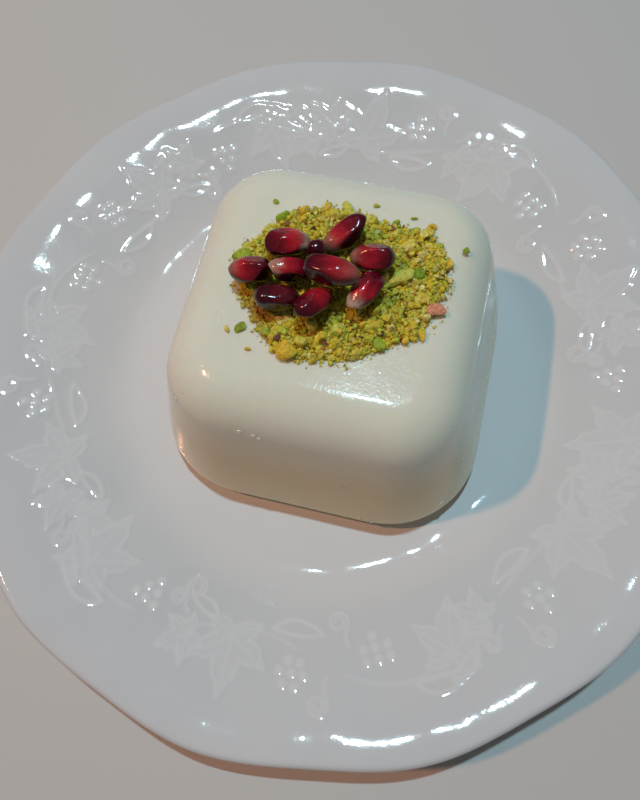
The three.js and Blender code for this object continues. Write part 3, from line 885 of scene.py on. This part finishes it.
# The largest bits of skin, from dark brown at tone 0 to pink at 1: the first is a flake at the right edge.
large_skins = [
    (23.7, -0.6, 5.2, 3.0, 4, 1.0), (-8.4, -14.4, 2.6, 1.4, 50, 0.15), (13.0, -9.0, 2.2, 1.3, 20, 0.1),
    (13.9, 0.4, 2.0, 1.0, 60, 0.05), (10.4, 17.7, 2.4, 1.6, 20, 0.55), (-13.5, 14.0, 2.2, 1.3, 0, 0.6),
    (1.8, -13.8, 1.8, 1.1, 80, 0.3), (16.5, 15.0, 1.8, 1.0, -20, 0.5),
]


def placed_bits(name, rows, height_at, thin, sink):
    """Bits at given places, lying flat at given turns, as one mesh."""
    corners, faces = ball_shape(3)
    x, y, length, width, turn, tones = np.array(rows).T
    x, y = pudding_middle[0] + x, pudding_middle[1] + y
    thick = thin * width
    c, s = np.cos(np.radians(turn)), np.sin(np.radians(turn))
    lean = scatter.uniform(-0.15, 0.15, len(x))
    turns = np.array([[c, -s, 0 * c], [s, c, 0 * c], [lean, -lean, 1 + 0 * c]]).transpose(2, 0, 1)
    places = np.column_stack([x, y, height_at(x, y) + thick * (0.5 - sink)])
    return joined_bits(name, places, np.column_stack([length, width, thick]) * 1.1,
                       broken_bits(corners, len(x), 6), faces, turns, tones)


large = placed_bits("pistachio_large_nibs", large_nibs, mound_surface, 0.72, 0.25)
flakes = placed_bits("pistachio_flakes", large_skins, lambda x, y: mound_surface(x, y) + 0.5, 0.3, 0.1)
loose = placed_bits("loose_nibs", loose_nibs, lambda x, y: pudding_top + 0 * x, 0.7, 0.12)

# Ground kernel runs from brown through yellow and green to pale yellow. The surface is dry and grainy, and
# where juice has soaked in it is darker and orange-brown.

soaked_colour = (0.52, 0.27, 0.035, 1)
flour_light = (1.46, 1.35, 1.05, 1)  # times the flesh's own colour


def colour_ramp(add, factor, stops):
    """A ramp of colour through stops of (position, colour)."""
    ramp = add("ValToRGB", {"Fac": factor})
    elements = ramp.color_ramp.elements
    for element, (position, colour) in zip((elements[0], elements[1]), (stops[0], stops[-1])):
        element.position, element.color = position, colour
    for position, colour in stops[1:-1]:
        elements.new(position).color = colour
    return ramp.outputs[0]


def pistachio_material(name, stops, shade_share):
    """Pistachio flesh whose colour runs through stops of (tone, colour) by the bit's own tone."""
    material, nut, add = new_material(name)
    where = add("TexCoord").outputs["Object"]
    tone = add("Attribute", attribute_name="tone").outputs["Fac"]
    juice = add("Attribute", attribute_name="juice").outputs["Fac"]
    own_colour = colour_ramp(add, tone, stops)
    shade = (shade_share, shade_share * 0.92, shade_share * 0.6, 1)
    speckle = place_group(add, mottle, Vector=where, Size=0.0009, Shade=shade, Light=flour_light, Fleck=0.5)
    flesh = mixed(add, 1.0, own_colour, speckle.outputs["Color"], blend_type="MULTIPLY")
    surface = place_group(add, uneven, Vector=where, Wave_Size=0.0006, Wave_Height=0.0003,
                          Grain_Size=0.0002, Grain_Height=0.0001)
    soaked = mixed(add, juice, flesh, soaked_colour)
    feed(nut, Base_Color=soaked, Roughness=0.62, Normal=surface.outputs["Normal"],
         Subsurface_Weight=0.3, Subsurface_Radius=(1.0, 0.9, 0.3), Subsurface_Scale=0.0008)
    return material


flesh_stops = [
    (0.0, (0.40, 0.24, 0.030, 1)), (0.10, (0.64, 0.48, 0.040, 1)), (0.36, (0.80, 0.66, 0.055, 1)),
    (0.60, (0.74, 0.68, 0.090, 1)), (0.80, (0.44, 0.58, 0.050, 1)), (0.90, (0.84, 0.76, 0.22, 1)),
    (1.0, (0.88, 0.80, 0.40, 1)),
]
nib_stops = [
    (0.0, (0.84, 0.58, 0.04, 1)), (0.3, (0.80, 0.64, 0.11, 1)), (0.55, (0.72, 0.74, 0.15, 1)),
    (0.8, (0.36, 0.50, 0.03, 1)), (1.0, (0.14, 0.28, 0.012, 1)),
]
skin_stops = [
    (0.0, (0.10, 0.030, 0.035, 1)), (0.5, (0.26, 0.10, 0.05, 1)), (0.8, (0.42, 0.20, 0.10, 1)),
    (1.0, (0.80, 0.34, 0.26, 1)),
]
ground = pistachio_material("ground pistachio", flesh_stops, 0.58)
kernel = pistachio_material("pistachio kernel", nib_stops, 0.62)
skin = pistachio_material("pistachio skin", skin_stops, 0.6)
store(mound, "tone", 0.25 + 0.2 * lumps(meal_x * 1.7, meal_y * 1.7))
store(mound, "juice", juice_at(meal_x, meal_y))
for piece, material in (
    (mound, ground), (fine, ground), (coarse, ground), (nibs, ground), (skins, skin), (large, kernel),
    (flakes, skin), (loose, kernel),
):
    piece.data.materials.append(material)
    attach(piece, "root")
    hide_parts("pudding" if piece is loose else "pistachio_crumbs")

# ---- Pomegranate arils ---------------------------------------------------------------------------
# Juicy red flesh round a seed, packed tight in the fruit, so each has flat sides with soft ridges between
# them. The flesh is deep red, darkest at the blunt end, and fades to a whitish tip where it grew on.

flat_sides = 5
flat_lean, flat_turn, flat_depth = (-0.05, 0.22), (-0.1, 0.1), (0.78, 0.86)
end_flat, tip_flat = (1.3, 0.86), (-2.0, 0.9)  # lean and depth
flat_press = 0.9
swell = 1.07  # before the flats are pressed in
ridge_up, flat_up = 0.5, 0.0  # what faces up, as a share of the step from one flat to the next
pick = np.random.default_rng(8)
# painted shade: the colour of the sides that face away from the light
painted_shade_flesh = (0.042, 0.001, 0.006, 1)
tip_colour = (0.66, 0.44, 0.33, 1)
# the flesh's colour with a painted glow, as if light were in it, from the tip at 0 to the blunt end at 1
painted_glow_stops = [
    (0.0, (0.46, 0.06, 0.05, 1)), (0.22, (0.66, 0.045, 0.050, 1)), (0.45, (0.58, 0.010, 0.026, 1)),
    (0.68, (0.26, 0.003, 0.016, 1)), (1.0, (0.055, 0.001, 0.008, 1)),
]
# painted brightness of each aril's flesh, as it is lit or shaded, how far its tip has paled, and what faces
# up
aril_looks = {
    "aril_01": (0.14, 0.0, flat_up), "aril_02": (0.75, 0.25, ridge_up), "aril_03": (0.70, 0.25, flat_up),
    "aril_04": (0.85, 0.35, ridge_up), "aril_05": (1.15, 1.0, ridge_up), "aril_06": (0.85, 0.1, ridge_up),
    "aril_07": (0.85, 0.6, flat_up), "aril_08": (1.10, 1.1, ridge_up), "aril_09": (0.40, 0.2, flat_up),
    "aril_10": (0.66, 0.1, flat_up),
}

flesh, aril_shader, add = new_material("pomegranate flesh")
where = add("TexCoord").outputs["Object"]
along, around, up, clear, paled = (
    add("Attribute", attribute_name=name).outputs["Fac"]
    for name in ("along", "around", "up", "clear", "paled")
)
fibre_at = add("CombineXYZ", {"X": times(add, along, 2.2), "Y": times(add, around, 9.0), "Z": clear})
fibre = noise(add, fibre_at.outputs[0], 1.6, 3.0)
drift = stretched(add, fibre, 0.3, 0.7, (-0.08, 0.08))
place = add("Math", {0: along, 1: drift}, operation="ADD").outputs[0]

# Painted light and shade: the sides that face up are painted glowing red, as if lit through to the seed,
# and the rest is painted dark.
painted_glow_along = colour_ramp(add, place, painted_glow_stops)
painted_lit = stretched(add, up, 0.68, 0.98, interpolation_type="SMOOTHSTEP")
flesh_colour = mixed(add, times(add, painted_lit, clear, use_clamp=True), painted_shade_flesh, painted_glow_along)
near_tip = stretched(add, place, 0.34, 0.04, interpolation_type="SMOOTHSTEP")
# the whitish tip is painted only on the sides that face up, as painted light
high = stretched(add, up, 0.45, 0.85, interpolation_type="SMOOTHSTEP")
pale = times(add, times(add, near_tip, high), paled, use_clamp=True)
flesh_colour = mixed(add, pale, flesh_colour, tip_colour)
clouded = stretched(add, noise(add, where, 330.0, 2.0), 0.35, 0.65, (0.72, 1.15))
flesh_colour = mixed(add, 1.0, flesh_colour, clouded, blend_type="MULTIPLY")
surface = place_group(add, uneven, Vector=where, Wave_Size=0.0018, Wave_Height=0.0003,
                      Grain_Size=0.0005, Grain_Height=0.000003)
feed(aril_shader, Base_Color=flesh_colour, Roughness=0.17, Normal=surface.outputs["Normal"], IOR=1.45,
     Subsurface_Weight=0.25, Subsurface_Radius=(1.0, 0.12, 0.1), Subsurface_Scale=0.0012,
     Coat_Weight=0.5, Coat_Roughness=0.14)

for name, (middle, axes, halves) in arils.items():
    painted_brightness, paleness, top_share = aril_looks[name]
    bpy.ops.object.select_all(action="DESELECT")
    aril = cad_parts[name].copy()
    aril.data = aril.data.copy()
    aril.name = "pomegranate_" + name
    aril.parent = None
    bpy.context.collection.objects.link(aril)
    bpy.context.view_layer.objects.active = aril
    aril.select_set(True)
    bpy.ops.object.mode_set(mode="EDIT")
    bpy.ops.mesh.select_all(action="SELECT")
    bpy.ops.mesh.remove_doubles(threshold=0.001 * mm)
    bpy.ops.mesh.tris_convert_to_quads()
    bpy.ops.object.mode_set(mode="OBJECT")
    smooth_out(aril, 2)

    spans = swell * ((points_of(aril) / mm - middle) @ axes.T / halves)
    top = math.atan2(axes[2][2], axes[1][2])
    sides = []
    for k in range(flat_sides):
        lean = pick.uniform(*flat_lean)
        turn = top + 2 * math.pi * (k + top_share + pick.uniform(*flat_turn)) / flat_sides
        sides.append((lean, turn, pick.uniform(*flat_depth)))
    sides.append((end_flat[0], top + pick.uniform(0, 2 * math.pi), end_flat[1]))
    sides.append((tip_flat[0], top + 2.4, tip_flat[1]))
    for lean, turn, depth in sides:
        side = np.array([lean, math.cos(turn), math.sin(turn)])
        side /= np.linalg.norm(side)
        over = np.maximum(spans @ side - depth, 0)
        spans = spans - flat_press * over[:, None] * side
    move_points(aril, ((spans * halves) @ axes + middle) * mm)
    smooth_out(aril, 1)

    spans = (points_of(aril) / mm - middle) @ axes.T / halves
    normals = np.empty(len(spans) * 3)
    aril.data.vertex_normals.foreach_get("vector", normals)
    store(aril, "along", (spans[:, 0] + 1) / 2)
    store(aril, "around", np.arctan2(spans[:, 2], spans[:, 1]) / (2 * math.pi) + 0.5)
    store(aril, "up", (normals.reshape(-1, 3)[:, 2] + 1) / 2)
    # the painted brightness of each aril, kept in its attribute clear
    store(aril, "clear", np.full(len(spans), painted_brightness))
    store(aril, "paled", np.full(len(spans), paleness))
    bpy.ops.object.shade_smooth()
    aril.data.materials.clear()
    aril.data.materials.append(flesh)
    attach(aril, "root")
    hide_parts(name)

# ---- Whey ----------------------------------------------------------------------------------------
# A turned-out pudding weeps: small drops of whey stand on its walls and its shoulder, in loose clusters, and
# catch the light.

drops_low, drops_high = 10, 46
drop_clusters, cluster_spread = 26, 1.1
drop_widths, drop_length, drop_rise = (0.5, 1.4), 0.85, 0.4  # the last two as shares of the width
whey_colour = (0.84, 0.79, 0.63, 1)
corners, faces = ball_shape(3)
skin_points = points_of(pudding) / mm
skin_points = skin_points[(skin_points[:, 2] > drops_low) & (skin_points[:, 2] < drops_high)]
places, turns = [], []
for _ in range(drop_clusters):
    start = skin_points[pick.integers(len(skin_points))]
    for _ in range(pick.integers(1, 5)):
        near = Vector(start + pick.normal(0, cluster_spread, 3)) * mm
        _, place, outwards, _ = pudding.closest_point_on_mesh(near)
        places.append(np.array(place) / mm)
        turns.append(np.array(outwards.to_track_quat("Z", "Y").to_matrix()))
widths = pick.uniform(*drop_widths, len(places))
sizes = np.column_stack([widths, widths * drop_length, widths * drop_rise])
shapes = np.repeat(corners[None], len(places), axis=0)
drops = joined_bits("whey_drops", np.array(places), sizes, shapes, faces, np.array(turns))
whey, whey_shader, add = new_material("whey")
feed(whey_shader, Base_Color=whey_colour, Roughness=0.2, IOR=1.6,
     Coat_Weight=1.0, Coat_IOR=2.0, Coat_Roughness=0.2)
drops.data.materials.append(whey)
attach(drops, "root")
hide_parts("pudding")

# ---- Sizes ---------------------------------------------------------------------------------------
# The box round the dressed part.

low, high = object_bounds()
